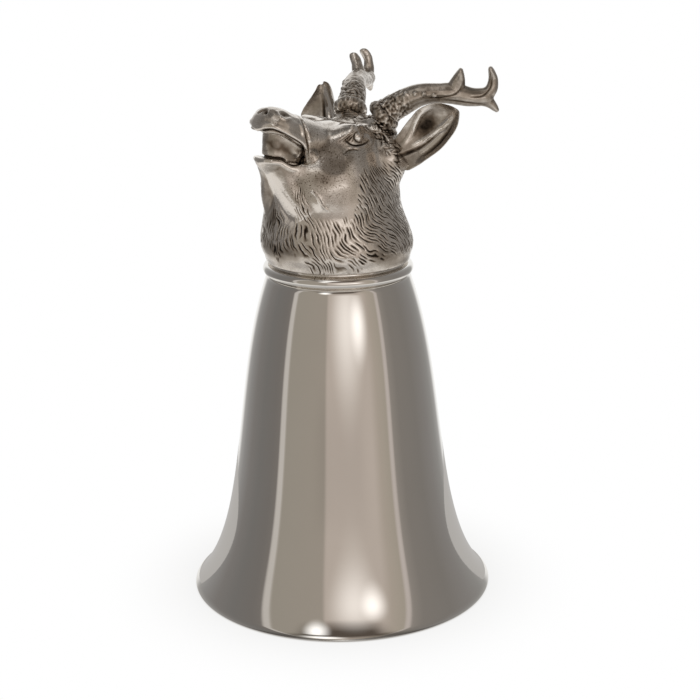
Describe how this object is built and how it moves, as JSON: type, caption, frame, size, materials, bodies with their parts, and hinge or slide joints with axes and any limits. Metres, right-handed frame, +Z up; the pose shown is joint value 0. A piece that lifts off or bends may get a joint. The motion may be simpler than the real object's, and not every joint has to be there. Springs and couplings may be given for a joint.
{
  "type": "stirrup cup",
  "caption": "Bell-shaped drinking cup that stands mouth down on its rim, with a cast stag's head, antlers and ears screwed to its closed end over a turned collar.",
  "frame": {"origin": "centre of the rim plane, which the cup stands on", "axes": "+Z up from the rim to the stag's head, -Y the way that the stag looks, +X the stag's left"},
  "size_m": [0.082, 0.082, 0.1425],
  "materials": {
    "polished_plate": "mirror polished",
    "antiqued_pewter": "cast pewter, dark in the recesses and rubbed bright on the high parts",
    "brass_fitting": "turned"
  },
  "bodies": {
    "root": {"bell_cup": "polished_plate", "collar_ring": "polished_plate", "neck_stud": "brass_fitting", "neck_plug": "brass_fitting", "head_casting": "antiqued_pewter", "antler_left": "antiqued_pewter", "antler_right": "antiqued_pewter", "ear_left": "antiqued_pewter", "ear_right": "antiqued_pewter"}
  },
  "joints": []
}
